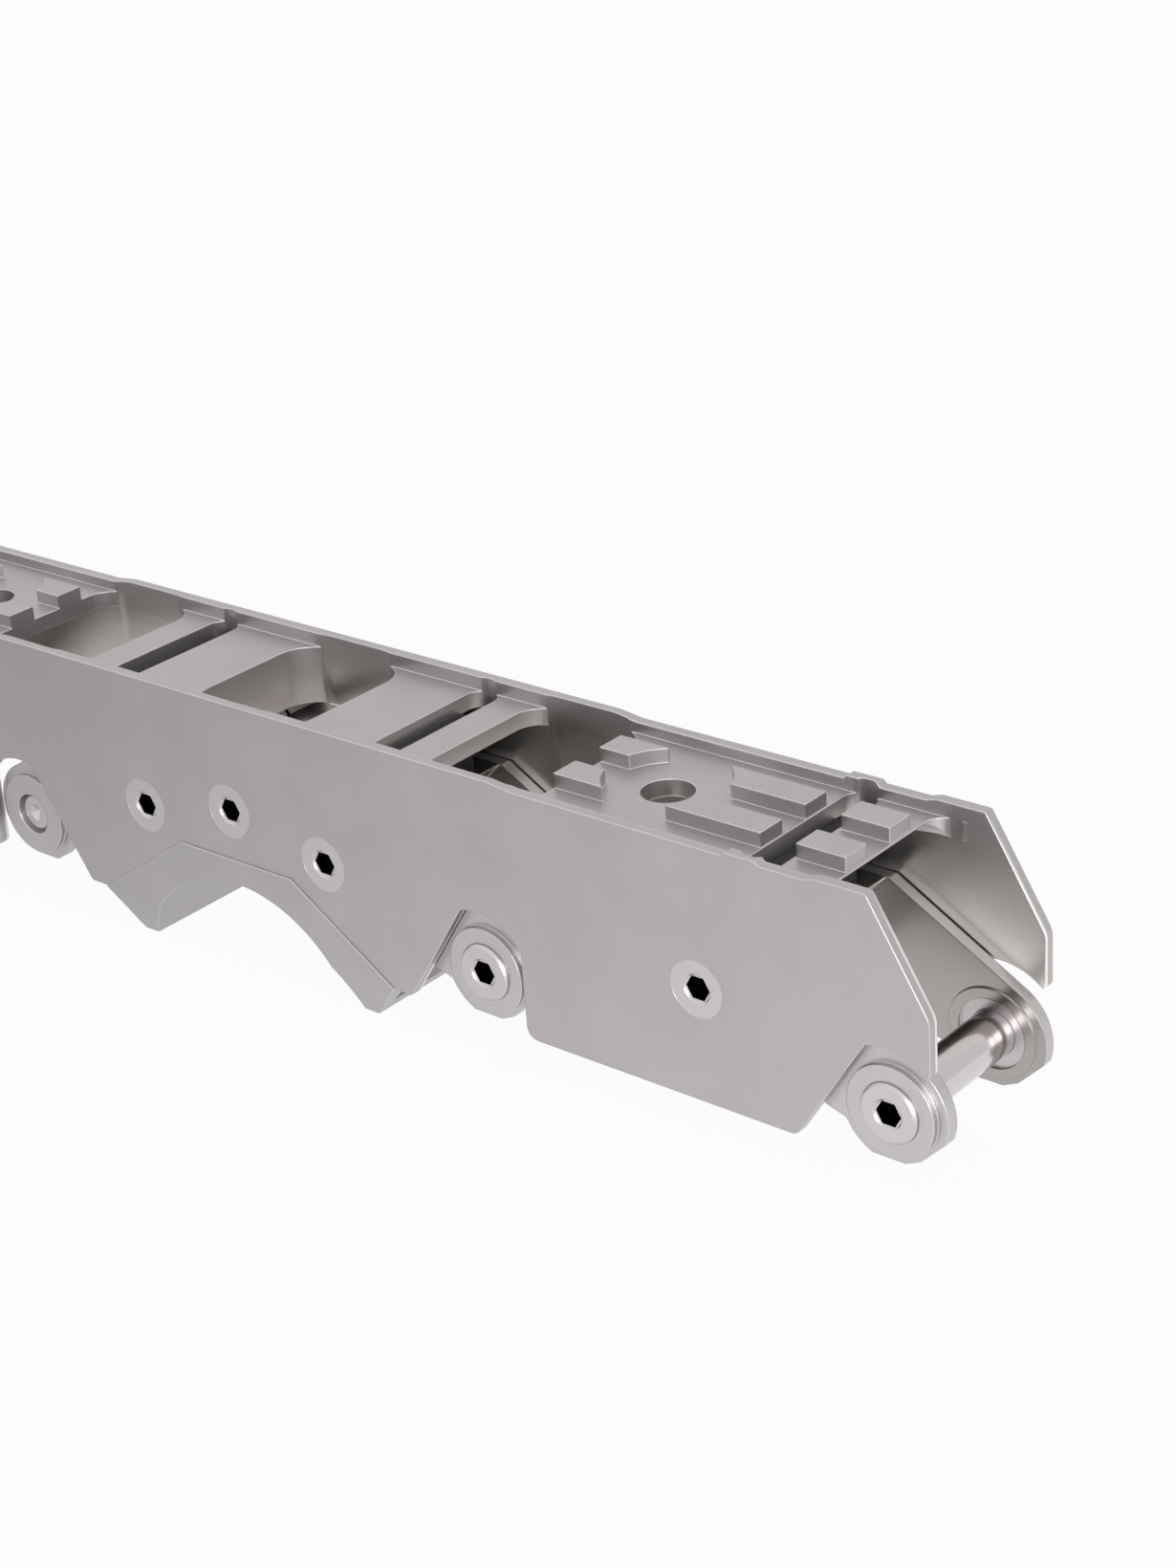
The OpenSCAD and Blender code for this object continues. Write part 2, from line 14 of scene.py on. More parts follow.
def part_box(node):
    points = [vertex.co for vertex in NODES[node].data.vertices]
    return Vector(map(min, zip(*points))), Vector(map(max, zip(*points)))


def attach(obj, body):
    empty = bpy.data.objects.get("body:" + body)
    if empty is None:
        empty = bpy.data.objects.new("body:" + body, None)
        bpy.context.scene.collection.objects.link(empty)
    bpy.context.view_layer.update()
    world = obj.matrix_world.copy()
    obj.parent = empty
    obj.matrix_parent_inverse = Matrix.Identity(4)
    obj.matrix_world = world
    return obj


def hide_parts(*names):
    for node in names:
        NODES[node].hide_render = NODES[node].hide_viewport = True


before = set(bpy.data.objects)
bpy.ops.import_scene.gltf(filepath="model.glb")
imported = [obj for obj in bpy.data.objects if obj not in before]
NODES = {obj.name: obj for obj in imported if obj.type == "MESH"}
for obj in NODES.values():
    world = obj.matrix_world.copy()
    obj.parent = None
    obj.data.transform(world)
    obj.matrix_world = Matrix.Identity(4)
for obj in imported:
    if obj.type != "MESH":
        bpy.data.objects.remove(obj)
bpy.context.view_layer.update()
MM = 0.001

# %% [markdown]
# ## Colours and nodes
# A colour is easiest to judge as the sRGB hex value that a screen shows, while a shader wants
# linear light, so one function turns the first into the second. A second function adds a shader
# node, sets its values and links its inputs, which keeps each material below short enough to
# read as a recipe. A third starts a material and gives its Object coordinates, in metres.

# %% Colours
def linear(hex_colour):
    """The linear RGBA of an sRGB colour such as "#b4b0b0"."""
    parts = [int(hex_colour[i:i + 2], 16) / 255 for i in (1, 3, 5)]
    light = [c / 12.92 if c <= 0.04045 else ((c + 0.055) / 1.055) ** 2.4 for c in parts]
    return (*light, 1.0)


print("the middle grey #808080 in linear light:", [round(v, 3) for v in linear("#808080")])


# %% Nodes
def add(tree, kind, values=None, **settings):
    """Adds a node. Settings are its properties; values are its sockets' values, or sockets to
    link them to."""
    node = tree.nodes.new(kind)
    for name, value in settings.items():
        setattr(node, name, value)
    for key, value in (values or {}).items():
        socket = node.inputs[key]
        if isinstance(value, bpy.types.NodeSocket):
            tree.links.new(value, socket)
        else:
            socket.default_value = value
    return node


def new_material(name):
    """An empty material with its tree, its Principled shader and its Object coordinates."""
    material = bpy.data.materials.new(name)
    material.use_nodes = True
    tree = material.node_tree
    shader = tree.nodes["Principled BSDF"]
    place = add(tree, "ShaderNodeTexCoord").outputs["Object"]
    return material, tree, shader, place


# %% [markdown]
# ## Bead-blasted, anodised aluminium
# The channel, the arms and the block are milled from solid aluminium, blasted with fine glass
# beads and anodised in its natural silver. Blasting leaves dents of about a tenth of a
# millimetre, so the surface has no mirror image, only a wide soft sheen with a faint grain.
#
# A plain grey would look like plastic. So the sheen is a rough metal, and the grain is a noise
# with a real size in millimetres, which fits every milled face without a map. It goes into the
# bump and, mixed with the slow unevenness of the anodising, into the colour.

# %% The grain
BEAD_MM = 0.22                   # dents are nearer 0.1 mm, drawn coarser so that they show
CLOUD_MM = 14                    # the anodising's slight unevenness
GRAIN_FROM, GRAIN_TO = 0.2, 0.8  # what the noise reaches, spread over the two tones


def blasted_grain(tree, place):
    """The height of the dents, and the grain between the deep and the pale tone, 0 to 1."""
    bead = add(tree, "ShaderNodeTexNoise", {"Vector": place, "Scale": 1 / (BEAD_MM * MM),
                                            "Detail": 2.0}).outputs["Fac"]
    cloud = add(tree, "ShaderNodeTexNoise", {"Vector": place, "Scale": 1 / (CLOUD_MM * MM),
                                             "Detail": 3.0}).outputs["Fac"]
    grain = add(tree, "ShaderNodeMix", {"Factor": 0.5, "A": bead, "B": cloud}).outputs[0]
    spread = add(tree, "ShaderNodeMapRange", {"Value": grain, "From Min": GRAIN_FROM,
                                              "From Max": GRAIN_TO})
    return bead, spread.outputs["Result"]


# %% [markdown]
# Tumbled edges are rounder and shinier than the faces and show as thin bright lines, whose
# highlight is painted into the colour. A bevel in the mesh would change every milled edge, down
# to those that other pieces sit on. The Bevel node only rounds the shading where two faces meet,
# and where its normal leaves the face's own one, there is a worn edge with a painted highlight.

# %% Worn edges with a painted highlight
EDGE_MM = 0.35                   # the round edge that tumbling and blasting leave
EDGE_STARTS, EDGE_FULL = 0.995, 0.85   # the two normals' agreement where the edge begins, is full


def round_edges(tree):
    """The rounded normal, and how far a point is on a worn edge with a painted highlight, 0 to 1.
    """
    rounded = add(tree, "ShaderNodeBevel", {"Radius": EDGE_MM * MM}, samples=8).outputs["Normal"]
    own = add(tree, "ShaderNodeNewGeometry").outputs["Normal"]
    agree = add(tree, "ShaderNodeVectorMath", {0: rounded, 1: own}, operation="DOT_PRODUCT")
    wear_and_highlight = add(tree, "ShaderNodeMapRange", {"Value": agree.outputs["Value"],
                                            "From Min": EDGE_STARTS, "From Max": EDGE_FULL})
    return rounded, wear_and_highlight.outputs["Result"]


# %% [markdown]
# Inside the channel and the arms, light and shade are painted into the colour: the channel's
# inside is painted lighter, the arms' inner faces are painted darker, and both are smoother. The
# inner faces could have a material of their own, but it would end in a hard line. The Object
# coordinates tell how far a point is from the frame's middle plane and how high it is, so the
# painted tone can fade into the plain one.

# %% Painted light and shade inside
WALL_FACE_MM = 15.2              # beyond this half width only the bites in the walls are cut, and the painted tone there reaches this much higher
BITE_UP_MM = 3.0                 # and their finish reaches this much higher


def painted_inside_mask(tree, place, half_mm, low_mm, high_mm):
    """1 within the half width and below the low height, fading out up to the high one."""
    axes = add(tree, "ShaderNodeSeparateXYZ", {"Vector": place})
    across = add(tree, "ShaderNodeMath", {0: axes.outputs["Y"]},
                 operation="ABSOLUTE").outputs["Value"]
    within = add(tree, "ShaderNodeMath", {0: across, 1: half_mm * MM}, operation="LESS_THAN")
    bitten = add(tree, "ShaderNodeMath", {0: across, 1: WALL_FACE_MM * MM},
                 operation="GREATER_THAN")
    height = add(tree, "ShaderNodeMath", {0: bitten.outputs["Value"], 1: -BITE_UP_MM * MM,
                                          2: axes.outputs["Z"]}, operation="MULTIPLY_ADD")
    below = add(tree, "ShaderNodeMapRange", {"Value": height.outputs["Value"],
                                             "From Min": high_mm * MM, "From Max": low_mm * MM})
    painted_inside = add(tree, "ShaderNodeMath", {0: within.outputs["Value"],
                                          1: below.outputs["Result"]}, operation="MULTIPLY")
    return painted_inside.outputs["Value"]


# %% Put the aluminium together
# the painted highlight on worn edges
EDGE_HIGHLIGHT_TONE = "#dcd8d8"
BRIGHT_ROUGHNESS = 0.25          # of worn edges and of the insides with a painted tone
DENT_MM = 0.06                   # how deep the drawn dents are


def blasted_aluminium(name, pale, deep, roughness, beads=0.3, inside=None, painted_inside_tone=None):
    """Blasted aluminium. Inside is the room with painted light or shade: its half width, and the
    heights between which the painted tone fades out, in mm. The last argument is that tone."""
    material, tree, shader, place = new_material(name)
    bead, spread = blasted_grain(tree, place)
    rounded, wear_and_highlight = round_edges(tree)
    tone = add(tree, "ShaderNodeMix", {"Factor": spread, "A": linear(deep), "B": linear(pale)},
               data_type="RGBA").outputs[2]
    rough = roughness
    if inside:
        painted_inside = painted_inside_mask(tree, place, *inside)
        # painted light or shade inside, with a smoother finish and no painted edge highlight
        tone = add(tree, "ShaderNodeMix", {"Factor": painted_inside, "A": tone, "B": linear(painted_inside_tone)},
                   data_type="RGBA").outputs[2]
        rough = add(tree, "ShaderNodeMix", {"Factor": painted_inside, "A": roughness,
                                            "B": BRIGHT_ROUGHNESS}).outputs[0]
        wear_and_highlight = add(tree, "ShaderNodeMix", {"Factor": painted_inside, "A": wear_and_highlight, "B": 0.0}).outputs[0]
    # worn edges get a painted highlight in the colour and a lower roughness
    tone = add(tree, "ShaderNodeMix", {"Factor": wear_and_highlight, "A": tone, "B": linear(EDGE_HIGHLIGHT_TONE)},
               data_type="RGBA").outputs[2]
    rough = add(tree, "ShaderNodeMix", {"Factor": wear_and_highlight, "A": rough,
                                        "B": BRIGHT_ROUGHNESS}).outputs[0]
    dents = add(tree, "ShaderNodeBump", {"Height": bead, "Normal": rounded, "Strength": beads,
                                         "Distance": DENT_MM * MM})
    tree.links.new(tone, shader.inputs["Base Color"])
    tree.links.new(rough, shader.inputs["Roughness"])
    tree.links.new(dents.outputs["Normal"], shader.inputs["Normal"])
    shader.inputs["Metallic"].default_value = 1.0
    return material


# %% Mix the aluminium's three finishes
CHANNEL_INSIDE = (15.7, 44, 51)  # painted lighter past the deepest bite, and fading out below the deck's top
ARM_INSIDE = (12.7, 60, 61)      # the plates' inner faces, painted darker over their whole height

# The channel's inside gets painted light, a paler tone, and the arms' inner faces painted shade.
channel_finish = blasted_aluminium("anodised_channel", "#c8c3c4", "#b9b4b5", 0.46,
                                   inside=CHANNEL_INSIDE, painted_inside_tone="#f2efec")
block_finish = blasted_aluminium("anodised_block", "#c8c4c5", "#b8b4b5", 0.42)
arm_finish = blasted_aluminium("anodised_arm", "#cfcbcb", "#c1bdbd", 0.36, beads=0.2,
                               inside=ARM_INSIDE, painted_inside_tone="#aca8a6")
print("mixed:", [m.name for m in (channel_finish, block_finish, arm_finish)])


# %% Give the block its finish
def finish(material, *names):
    """Puts one material on each named CAD node."""
    for name in names:
        slots = NODES[name].data.materials
        if len(slots):
            slots[0] = material
        else:
            slots.append(material)
    print(material.name, "on", ", ".join(names))


finish(block_finish, "grind_block")

# %% [markdown]
# ## The channel's finer milling
# On the real channel the cutter went a little further than on the plain solid. Each pocket is a
# few tenths of a millimetre wider than the channel, so it bites into both walls, and the middle
# one's upright corners keep the cutter's radius down to the bottom. The slots in the crossbars
# bite into the walls too. Each end of the deck is thin, because room for the tyre is turned out
# below it, and it meets the walls in small fillets.
#
# The faces could be pushed about in edit mode, but where a round cut crosses a wall that is slow
# and leaves gaps. All of this is milling, so it is made as milling: a copy of the chassis has
# cutters taken out of it by the Boolean modifier. The solid's mesh is loose triangles, so the
# copy is first merged into one skin, which a Boolean needs.

# %% A merged copy of the chassis
WELD_MM = 0.001


def only(obj):
    """Selects one object alone and makes it active."""
    bpy.ops.object.select_all(action="DESELECT")
    obj.select_set(True)
    bpy.context.view_layer.objects.active = obj


def merged_copy(node, name):
    """A copy of a CAD node, its loose triangles merged into one skin."""
    mesh = NODES[node].data.copy()
    mesh.transform(NODES[node].matrix_world)
    piece = bpy.data.objects.new(name, mesh)
    bpy.context.scene.collection.objects.link(piece)
    only(piece)
    bpy.ops.object.mode_set(mode="EDIT")
    bpy.ops.mesh.select_all(action="SELECT")
    bpy.ops.mesh.remove_doubles(threshold=WELD_MM * MM)
    bpy.ops.mesh.customdata_custom_splitnormals_clear()
    bpy.ops.object.mode_set(mode="OBJECT")
    return piece


channel = merged_copy("chassis", "milled_channel")
print("faces before the milling:", len(channel.data.polygons))

# %% [markdown]
# Most cutters are the room that an end mill sweeps: a block whose upright edges have the mill's
# radius. It starts as a cube at its size and place. An edge is upright when its two ends lie at
# different heights, and these edges are bevelled in edit mode.

# %% The end mill's block
BEVEL_STEPS = 8
SAME_MM = 0.1                    # two ends of an edge that differ by less are at one place


def bevel_edges(obj, wanted, width_mm):
    """Rounds the edges for which wanted(start, end) is true."""
    only(obj)
    mesh = obj.data
    bpy.ops.object.mode_set(mode="EDIT")
    bpy.ops.mesh.select_mode(type="EDGE")
    bpy.ops.mesh.select_all(action="DESELECT")
    bpy.ops.object.mode_set(mode="OBJECT")
    for line in mesh.edges:
        line.select = wanted(*[mesh.vertices[v].co for v in line.vertices])
    bpy.ops.object.mode_set(mode="EDIT")
    bpy.ops.mesh.bevel(offset=width_mm * MM, segments=BEVEL_STEPS, affect="EDGES")
    bpy.ops.object.mode_set(mode="OBJECT")


def block(low_mm, high_mm, corner_mm=0):
    """A block between two corners in mm, its upright edges rounded."""
    centre = [(a + b) / 2 * MM for a, b in zip(low_mm, high_mm)]
    bpy.ops.object.select_all(action="DESELECT")
    bpy.ops.mesh.primitive_cube_add(size=1, location=centre)
    made = bpy.context.object
    made.scale = [(b - a) * MM for a, b in zip(low_mm, high_mm)]
    bpy.ops.object.transform_apply(location=True, rotation=False, scale=True)
    if corner_mm:
        bevel_edges(made, lambda a, b: abs(a.z - b.z) > SAME_MM * MM, corner_mm)
    return made


# %% The cut
def mill(piece, tool, operation="DIFFERENCE"):
    """Takes the tool out of the piece, or joins it to it, and throws the tool away."""
    only(piece)
    cutting = piece.modifiers.new("mill", "BOOLEAN")
    cutting.operation = operation
    cutting.solver = "EXACT"
    cutting.object = tool
    bpy.ops.object.modifier_apply(modifier=cutting.name)
    bpy.data.objects.remove(tool, do_unlink=True)


# %% [markdown]
# The middle pocket comes first. Its corners are square below the deck in the solid, so the
# pocket is filled to its bottom and cut once more with round ones. A cutter's face that lies
# exactly on a face of the solid leaves slivers, so each keeps a hair away from it.

# %% Mill the middle pocket
MIDDLE_MM = 2.5                  # the deck's pattern lies this far ahead of the wheelbase's middle
WALL_IN_MM = 15.15               # inner face of a wall
DECK_TOP_MM = 51.1
OVER_MM = 55                     # above everything
HAIR_MM = 0.02                   # keeps a cutter's face off a face of the solid
POCKET_BITE_MM = 0.35
MIDDLE_HALF_MM, MIDDLE_LOW_MM, MIDDLE_CORNER_MM = 13, 40, 6.5
FILL_MM = 0.1                    # how far the filling reaches into the solid round the pocket

pocket_y = WALL_IN_MM + POCKET_BITE_MM
fill_half = MIDDLE_HALF_MM + FILL_MM
filling = block((MIDDLE_MM - fill_half, -pocket_y, MIDDLE_LOW_MM + FILL_MM),
                (MIDDLE_MM + fill_half, pocket_y, DECK_TOP_MM - HAIR_MM))
mill(channel, filling, "UNION")
cut_half = MIDDLE_HALF_MM + HAIR_MM
mill(channel, block((MIDDLE_MM - cut_half, -pocket_y, MIDDLE_LOW_MM),
                    (MIDDLE_MM + cut_half, pocket_y, OVER_MM), MIDDLE_CORNER_MM))
print("faces after the middle pocket:", len(channel.data.polygons))

# %% Mill the outer pockets and the crossbars' slots
POCKET_LOW_MM = 31               # the outer pockets' bites end here, behind the arms
POCKET_FROM_MM, POCKET_TO_MM, POCKET_CORNER_MM = 42.3, 67, 5
SLOT_FROM_MM, SLOT_TO_MM, SLOT_CORNER_MM = 29.2, 35.2, 2.9
SLOT_LOW_MM, SLOT_BITE_MM = 47.5, 0.45


def at_both_ends(near_mm, far_mm):
    """Low and high x between two distances from the deck's middle, behind it and ahead of it."""
    return [sorted((MIDDLE_MM + end * near_mm, MIDDLE_MM + end * far_mm)) for end in (-1, 1)]


slot_y = WALL_IN_MM + SLOT_BITE_MM
for low_x, high_x in at_both_ends(POCKET_FROM_MM - HAIR_MM, POCKET_TO_MM + HAIR_MM):
    mill(channel, block((low_x, -pocket_y, POCKET_LOW_MM), (high_x, pocket_y, OVER_MM),
                        POCKET_CORNER_MM))
for low_x, high_x in at_both_ends(SLOT_FROM_MM - HAIR_MM, SLOT_TO_MM + HAIR_MM):
    mill(channel, block((low_x, -slot_y, SLOT_LOW_MM), (high_x, slot_y, OVER_MM),
                        SLOT_CORNER_MM))
print("faces after pockets and slots:", len(channel.data.polygons))

# %% Mill the fillets where the deck ends
END_FROM_MM, END_TO_MM, END_FILLET_MM = 124.4, 132, 3.2
END_LOW_MM, END_HIGH_MM = 47.5, 51.5

fillet_y = WALL_IN_MM + HAIR_MM
for low_x, high_x in at_both_ends(END_FROM_MM - HAIR_MM, END_TO_MM):
    mill(channel, block((low_x, -fillet_y, END_LOW_MM), (high_x, fillet_y, END_HIGH_MM),
                        END_FILLET_MM))
print("faces after the deck's ends:", len(channel.data.polygons))

# %% [markdown]
# Two cutters are round. The seat of the bolt's washer is a plain disc over each bolt hole, and
# it ends the pads on both sides of the hole in an arc. The tyre's room is a wheel whose tread is
# rounded like the tyre that turns in it.

# %% Mill the washers' seats
BOLT_MM, SEAT_R_MM = 83.5, 10.8
SEAT_SIDES = 128

for end in (-1, 1):
    bpy.ops.object.select_all(action="DESELECT")
    bpy.ops.mesh.primitive_cylinder_add(
        vertices=SEAT_SIDES, radius=SEAT_R_MM * MM, depth=(OVER_MM - DECK_TOP_MM) * MM,
        location=((MIDDLE_MM + end * BOLT_MM) * MM, 0, (DECK_TOP_MM + OVER_MM) / 2 * MM))
    seat = bpy.context.object
    bpy.ops.object.transform_apply(location=True, rotation=False, scale=True)
    mill(channel, seat)
print("faces after the washers' seats:", len(channel.data.polygons))

# %% Mill the tyres' room
AXLE_X_MM = {1: 138.5, 2: 57.5, 3: -57.5, 4: -138.5}
AXLE_Z_MM = 17
ROOM_R_MM, TREAD_R_MM = 35.7, 4.1
ROOM_SIDES = 160

for station in (4, 1):
    bpy.ops.object.select_all(action="DESELECT")
    bpy.ops.mesh.primitive_cylinder_add(
        vertices=ROOM_SIDES, radius=ROOM_R_MM * MM, depth=2 * (WALL_IN_MM - HAIR_MM) * MM,
        location=(AXLE_X_MM[station] * MM, 0, AXLE_Z_MM * MM), rotation=(math.pi / 2, 0, 0))
    room = bpy.context.object
    bpy.ops.object.transform_apply(location=True, rotation=True, scale=True)
    bevel_edges(room, lambda a, b: abs(a.y - b.y) < SAME_MM * MM, TREAD_R_MM)
    mill(channel, room)
print("faces after the tyres' room:", len(channel.data.polygons))

# %% [markdown]
# The milled copy now takes the place of the plain solid. It is shaded smooth where faces meet at
# a small angle, so that the cutters' rounds look round and the milled edges stay crisp.

# %% Put the milled channel in its place
SMOOTH_DEGREES = 25


def stands_for(piece, node, body, material):
    """The piece takes the node's place, with its material."""
    only(piece)
    bpy.ops.object.shade_smooth_by_angle(angle=math.radians(SMOOTH_DEGREES))
    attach(piece, body)
    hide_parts(node)
    piece.data.materials.clear()
    piece.data.materials.append(material)
    print(piece.name, "size in mm:", [round(v / MM, 2) for v in piece.dimensions])


stands_for(channel, "chassis", "chassis", channel_finish)

# %% [markdown]
# ## The arms' ends
# In the photograph the arms' ends are cut with flats below and beyond the axle. Here they are
# three: straight below it, slanted by 45 degrees, and one between the two. They take a little
# off the round and leave the length of the whole as it is. A flat is a plane cut, so its tool is
# a block that lies beyond the flat, turned with it.

# %% Cut the flats
STATIONS = (1, 2, 3, 4)          # the four axles, from the front
FLATS = ((0, 8.9), (25, 8.9), (45, 8.75))   # lean in degrees, and distance from the axle in mm
TOOL_MM = 24                     # larger than an arm's end


def flat_tool(axle_x_mm, degrees, distance_mm):
    """The block beyond a flat that leans outward from straight below the axle."""
    lean = math.copysign(math.radians(degrees), axle_x_mm)
    away = Vector((math.sin(lean), 0, -math.cos(lean)))
    middle = Vector((axle_x_mm, 0, AXLE_Z_MM)) + away * (distance_mm + TOOL_MM / 2)
    bpy.ops.object.select_all(action="DESELECT")
    bpy.ops.mesh.primitive_cube_add(size=1, location=middle * MM, rotation=(0, -lean, 0))
    tool = bpy.context.object
    tool.scale = (TOOL_MM * MM, 2 * TOOL_MM * MM, TOOL_MM * MM)
    bpy.ops.object.transform_apply(location=True, rotation=True, scale=True)
    return tool


for station in STATIONS:
    arm = merged_copy(f"arm_{station}", f"cut_arm_{station}")
    for degrees, distance in FLATS:
        mill(arm, flat_tool(AXLE_X_MM[station], degrees, distance))
    stands_for(arm, f"arm_{station}", f"arm_{station}", arm_finish)

# %% [markdown]
# ## Bright steel
# Axles and screws are nickel plated steel, turned and then polished, so they mirror the room in
# narrow bands. The hex sockets lie in shade, which is painted dark into their colour.
#
# The painted shade could be a second material on the socket's faces, but the solids' triangles
# carry no mark of what they belong to. Each fastener's socket lies on the fastener's own axis,
# below its face, so the shade is painted where a point is near that axis and deep enough.

# %% The painted shade of a socket
SOCKET_R_MM, SOCKET_DEEP_MM = 2.4, 4


def in_socket(tree, axes, centre_mm, outward, face_mm):
    """1 near the axis (x, z) and below the face, by the distance outward from the middle."""
    off_x = add(tree, "ShaderNodeMath", {0: axes.outputs["X"], 1: centre_mm[0] * MM},
                operation="SUBTRACT")
    off_z = add(tree, "ShaderNodeMath", {0: axes.outputs["Z"], 1: centre_mm[1] * MM},
                operation="SUBTRACT")
    flat = add(tree, "ShaderNodeCombineXYZ", {"X": off_x.outputs["Value"],
                                              "Y": off_z.outputs["Value"]})
    reach = add(tree, "ShaderNodeVectorMath", {0: flat.outputs["Vector"]}, operation="LENGTH")
    near = add(tree, "ShaderNodeMath", {0: reach.outputs["Value"], 1: SOCKET_R_MM * MM},
               operation="LESS_THAN")
    half_deep = SOCKET_DEEP_MM / 2
    deep = add(tree, "ShaderNodeMath", {0: outward, 1: (face_mm - half_deep) * MM,
                                        2: half_deep * MM}, operation="COMPARE")
    socket = add(tree, "ShaderNodeMath", {0: near.outputs["Value"], 1: deep.outputs["Value"]},
                 operation="MULTIPLY")
    return socket.outputs["Value"]


# %% Plated steel
# the plated colour, and the painted shade in a hex socket
PLATED, SOCKET_SHADE = "#d2cccd", "#16161a"
LATHE_MM = 0.5                   # turning marks are nearer 0.05 mm, drawn coarser
SATIN_FROM, SATIN_TO = 0.28, 0.42
SHAFT_ROUGHNESS, SOCKET_ROUGHNESS = 0.13, 0.25
SCREW_EDGE_MM = 0.12


def plated_steel(name, centre_mm, face_mm, head_side, shaft_mm):
    """Plated steel. The socket lies below the face at the head's side of y, or on both for 0.
    Within shaft_mm of the middle plane the steel is polished."""
    material, tree, shader, place = new_material(name)
    axes = add(tree, "ShaderNodeSeparateXYZ", {"Vector": place})
    across = add(tree, "ShaderNodeMath", {0: axes.outputs["Y"]},
                 operation="ABSOLUTE").outputs["Value"]
    outward = across
    if head_side:
        outward = add(tree, "ShaderNodeMath", {0: axes.outputs["Y"], 1: head_side},
                      operation="MULTIPLY").outputs["Value"]
    socket = in_socket(tree, axes, centre_mm, outward, face_mm)
    # painted shade in the socket
    colour = add(tree, "ShaderNodeMix", {"Factor": socket, "A": linear(PLATED),
                                         "B": linear(SOCKET_SHADE)}, data_type="RGBA")
    lathe = add(tree, "ShaderNodeTexNoise", {"Vector": place, "Scale": 1 / (LATHE_MM * MM),
                                             "Detail": 3.0})
    satin = add(tree, "ShaderNodeMapRange", {"Value": lathe.outputs["Fac"],
                                             "To Min": SATIN_FROM, "To Max": SATIN_TO})
    shaft = add(tree, "ShaderNodeMath", {0: across, 1: shaft_mm * MM}, operation="LESS_THAN")
    rough = add(tree, "ShaderNodeMix", {"Factor": shaft.outputs["Value"],
                                        "A": satin.outputs["Result"], "B": SHAFT_ROUGHNESS})
    sheen = add(tree, "ShaderNodeMix", {"Factor": socket, "A": rough.outputs[0],
                                        "B": SOCKET_ROUGHNESS})
    edge = add(tree, "ShaderNodeBevel", {"Radius": SCREW_EDGE_MM * MM}, samples=4)
    tree.links.new(colour.outputs[2], shader.inputs["Base Color"])
    tree.links.new(sheen.outputs[0], shader.inputs["Roughness"])
    tree.links.new(edge.outputs["Normal"], shader.inputs["Normal"])
    shader.inputs["Metallic"].default_value = 1.0
    return material


# %% [markdown]
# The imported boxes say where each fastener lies. The box of a pair of screws is the same on both
# sides of the middle plane, so both their ends have a socket. An axle's reaches further out at
# its head.

# %% Give the screws and axles their finish
LEAD_MM = 0.4                    # the bright lead-in at a socket's mouth
SHAFT_MM = 12.4                  # only an axle's shaft is polished, between the arm's plates

screws = ["block_screws"] + [f"pivot_screws_{i}" for i in STATIONS]
for node in screws + [f"axle_{i}" for i in STATIONS]:
    low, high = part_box(node)
    centre = ((low[0] + high[0]) / 2 / MM, (low[2] + high[2]) / 2 / MM)
    lean = low[1] + high[1]
    side = 0 if abs(lean) < SAME_MM * MM else math.copysign(1, lean)
    face = max(abs(low[1]), abs(high[1])) / MM - LEAD_MM
    finish(plated_steel("plated_" + node, centre, face, side, SHAFT_MM if side else 0), node)

# %% [markdown]
# ## The pieces inside
# The tubes that the arms swing on are ground steel, which is smooth and mirrors softly. The
# bushes are sintered bronze, pressed from powder, so their pores make them dull. The bumpers are
# cast polyurethane, a rubber that is black and no metal. Little of them shows, through the
# deck's pockets and from below, so one recipe with one grain serves all three by its values.

# %% Ground steel, bronze and rubber
ROUGHNESS_SPREAD = 0.15          # the share by which the grain changes the roughness
RELIEF_MM = 0.05


def plain_finish(name, pale, deep, grain_mm, roughness, metallic, bump):
    """A finish with one grain: a metal or a rubber, by its values."""
    material, tree, shader, place = new_material(name)
    grain = add(tree, "ShaderNodeTexNoise", {"Vector": place, "Scale": 1 / (grain_mm * MM),
                                             "Detail": 4.0}).outputs["Fac"]
    tone = add(tree, "ShaderNodeMix", {"Factor": grain, "A": linear(deep), "B": linear(pale)},
               data_type="RGBA")
    rough = add(tree, "ShaderNodeMapRange", {"Value": grain,
                                             "To Min": roughness * (1 - ROUGHNESS_SPREAD),
                                             "To Max": roughness * (1 + ROUGHNESS_SPREAD)})
    relief = add(tree, "ShaderNodeBump", {"Height": grain, "Strength": bump,
                                          "Distance": RELIEF_MM * MM})
    tree.links.new(tone.outputs[2], shader.inputs["Base Color"])
    tree.links.new(rough.outputs["Result"], shader.inputs["Roughness"])
    tree.links.new(relief.outputs["Normal"], shader.inputs["Normal"])
    shader.inputs["Metallic"].default_value = metallic
    return material


# The grains are drawn coarser than the real ones, which are a few hundredths of a millimetre
finish(plain_finish("ground_steel", "#a9a7a5", "#9a9896", 0.4, 0.28, 1.0, 0.05),
       *[f"pivot_tube_{i}" for i in STATIONS])
finish(plain_finish("sintered_bronze", "#a98d58", "#94794a", 0.3, 0.42, 1.0, 0.1),
       *[f"bushes_{i}" for i in STATIONS])
finish(plain_finish("cast_polyurethane", "#2a292a", "#232223", 0.8, 0.5, 0.0, 0.15),
       *[f"bumper_{i}" for i in STATIONS])

# %% [markdown]
# ## The studio
# The photograph was taken in a white tent: light comes softly from everywhere, a little more
# from above and from the front, and the tent's back is a little darker. A ring of lamps could do
# that, but each would show as a patch in the metal, so a white world does most of it. It shows
# at full strength where it is looked at or mirrored, and lights the surfaces with about half of
# that, which leaves room for two lamps.

# %% The tent
LIT_BY_TENT = 0.55               # its strength as a light
BACK_FADE, BACK_TONE = 0.6, 0.82  # how far round the tent darkens, and to what share


